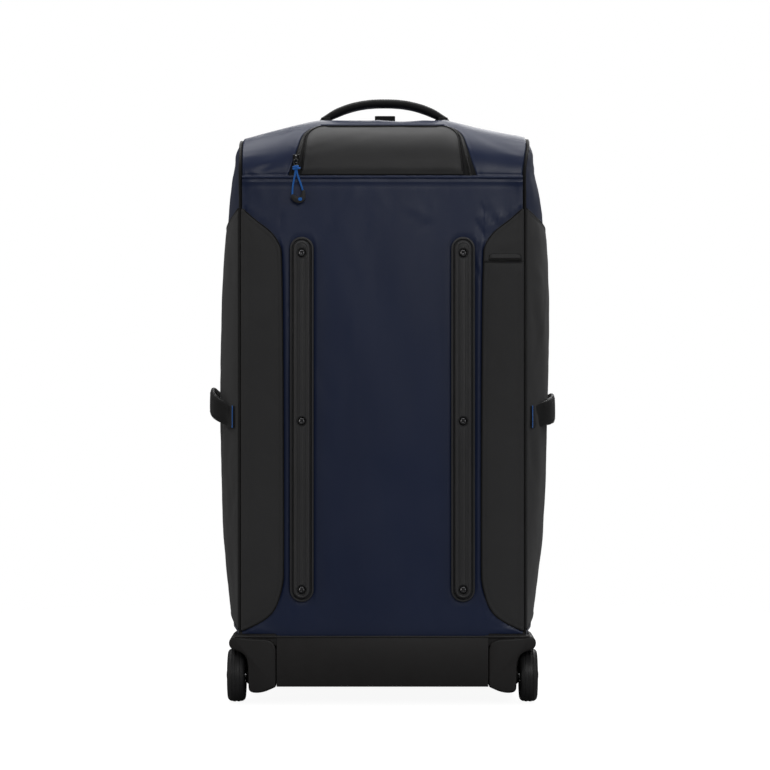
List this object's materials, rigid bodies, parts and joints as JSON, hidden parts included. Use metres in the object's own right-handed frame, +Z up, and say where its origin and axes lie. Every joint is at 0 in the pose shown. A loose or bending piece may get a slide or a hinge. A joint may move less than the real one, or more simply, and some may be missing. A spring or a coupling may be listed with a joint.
{
  "type": "rolling duffel bag",
  "caption": "Large soft-sided rolling duffel bag with a wheeled plastic base, back skid rails, telescopic handle under a zipped flap, U-shaped front lid and padded carry handles",
  "frame": {"origin": "middle of the bag's outline on the floor it stands on", "axes": "X across the bag, -Y out of the back with the skid rails and wheels, +Y out of the front lid, Z up"},
  "size_m": [0.48, 0.3236, 0.82],
  "materials": {
    "navy_fabric": "coated tarpaulin-like fabric with a fine woven grain and a soft sheen",
    "black_fabric": "matt heavy woven polyester",
    "grey_fabric": "dark grey coated woven fabric",
    "trim_fabric": "black piping, zip tape and webbing",
    "lining_fabric": "thin dark woven lining",
    "blue_cord": "braided bright blue cord",
    "rail_plastic": "injection moulded, fine spark-eroded grain",
    "base_plastic": "injection moulded black plastic with a light grain",
    "gloss_black": "glossy black domed screw heads and sliders",
    "tyre_rubber": "cast polyurethane tread, satin",
    "hub_plastic": "moulded dark grey hub",
    "tube_aluminium": "anodised drawn tube",
    "steel": "plain steel pins, bearings and nuts"
  },
  "bodies": {
    "root": {"back_panel": "navy_fabric", "back_wings": "black_fabric", "side_panel_left": "navy_fabric", "side_panel_right": "navy_fabric", "side_overlays": "black_fabric", "back_shoulders": "navy_fabric", "top_panel": "navy_fabric", "front_top": "navy_fabric", "front_wings": "black_fabric", "front_base": "navy_fabric", "floor_board": "base_plastic", "piping": "trim_fabric", "rail_left": "rail_plastic", "rail_right": "rail_plastic", "rail_screws": "gloss_black", "rail_nuts": "steel", "backing_board": "base_plastic", "bottom_shell": "base_plastic", "wheel_housing_left": "base_plastic", "wheel_housing_right": "base_plastic", "base_screws": "gloss_black", "axles": "steel", "front_feet": "base_plastic", "outer_tubes": "tube_aluminium", "tube_collars": "base_plastic", "handle_bezel": "base_plastic", "tube_bracket": "base_plastic", "garage_liner": "lining_fabric", "inner_straps": "trim_fabric", "flap_zip": "trim_fabric", "lid_zip": "trim_fabric", "handle_patches": "trim_fabric", "lash_tabs": "trim_fabric", "id_pocket": "black_fabric"},
    "wheel_left": {"tyre_left": "tyre_rubber", "hub_left": "hub_plastic", "bearings_left": "steel"},
    "wheel_right": {"tyre_right": "tyre_rubber", "hub_right": "hub_plastic", "bearings_right": "steel"},
    "trolley_lower": {"middle_tubes": "tube_aluminium", "middle_collars": "base_plastic"},
    "trolley_upper": {"inner_tubes": "tube_aluminium", "grip": "base_plastic", "button_spring": "steel"},
    "button": {"grip_button": "hub_plastic", "push_rods": "steel"},
    "lock_pins": {"lock_pins": "steel"},
    "flap": {"handle_flap": "grey_fabric"},
    "flap_slider": {"flap_slider": "gloss_black", "pull_cord_left": "blue_cord", "pull_cord_right": "blue_cord", "pull_tab": "trim_fabric"},
    "lid": {"lid_panel": "navy_fabric"},
    "lid_slider_left": {"lid_slider_left": "gloss_black"},
    "lid_slider_right": {"lid_slider_right": "gloss_black"},
    "pocket_slider": {"pocket_slider": "gloss_black"},
    "top_handle": {"top_handle": "black_fabric"},
    "side_handle_left": {"side_handle_left": "black_fabric"},
    "side_handle_right": {"side_handle_right": "black_fabric"}
  },
  "joints": [
    {"name": "wheel_left_spin", "type": "hinge", "parent": "root", "child": "wheel_left", "pos_m": [-0.196, -0.12, 0.036], "axis": [1, 0, 0], "continuous": true},
    {"name": "wheel_right_spin", "type": "hinge", "parent": "root", "child": "wheel_right", "pos_m": [0.196, -0.12, 0.036], "axis": [1, 0, 0], "continuous": true},
    {"name": "trolley_lower_slide", "type": "slide", "parent": "root", "child": "trolley_lower", "axis": [0, 0, 1], "range_m": [0, 0.19], "deforming": ["handle_flap"]},
    {"name": "trolley_upper_slide", "type": "slide", "parent": "trolley_lower", "child": "trolley_upper", "axis": [0, 0, 1], "range_m": [0, 0.19]},
    {"name": "button_press", "type": "slide", "parent": "trolley_upper", "child": "button", "axis": [0, 0, -1], "range_m": [0, 0.0035], "stiffness_N_per_m": 400, "deforming": ["button_spring"]},
    {"name": "lock_pin_draw", "type": "slide", "parent": "trolley_upper", "child": "lock_pins", "axis": [0, 1, 0], "range_m": [0, 0.0025]},
    {"name": "flap_hinge", "type": "hinge", "parent": "root", "child": "flap", "pos_m": [0, -0.15, 0.706], "axis": [1, 0, 0], "range_deg": [0, 150]},
    {"name": "flap_slider_run", "type": "hinge", "parent": "root", "child": "flap_slider", "pos_m": [0, -0.066, 0.706], "axis": [-1, 0, 0], "range_deg": [0, 32]},
    {"name": "lid_hinge", "type": "hinge", "parent": "root", "child": "lid", "pos_m": [0, 0.15, 0.1395], "axis": [-1, 0, 0], "range_deg": [0, 100]},
    {"name": "lid_slider_left_run", "type": "slide", "parent": "root", "child": "lid_slider_left", "axis": [0, 0, -1], "range_m": [0, 0.4]},
    {"name": "lid_slider_right_run", "type": "slide", "parent": "root", "child": "lid_slider_right", "axis": [0, 0, -1], "range_m": [0, 0.4]},
    {"name": "pocket_slider_run", "type": "slide", "parent": "lid", "child": "pocket_slider", "axis": [1, 0, 0], "range_m": [0, 0.2]},
    {"name": "top_handle_swing", "type": "hinge", "parent": "root", "child": "top_handle", "pos_m": [0, -0.058, 0.796], "axis": [1, 0, 0], "range_deg": [-30, 30]},
    {"name": "side_handle_left_swing", "type": "hinge", "parent": "root", "child": "side_handle_left", "pos_m": [-0.2175, 0, 0.384], "axis": [0, 1, 0], "range_deg": [-30, 12]},
    {"name": "side_handle_right_swing", "type": "hinge", "parent": "root", "child": "side_handle_right", "pos_m": [0.2175, 0, 0.384], "axis": [0, 1, 0], "range_deg": [-12, 30]}
  ],
  "couplings": [
    {"joint": "trolley_upper_slide", "follows": "trolley_lower_slide", "ratio": 1},
    {"joint": "lock_pin_draw", "follows": "button_press", "ratio": 0.71429}
  ]
}
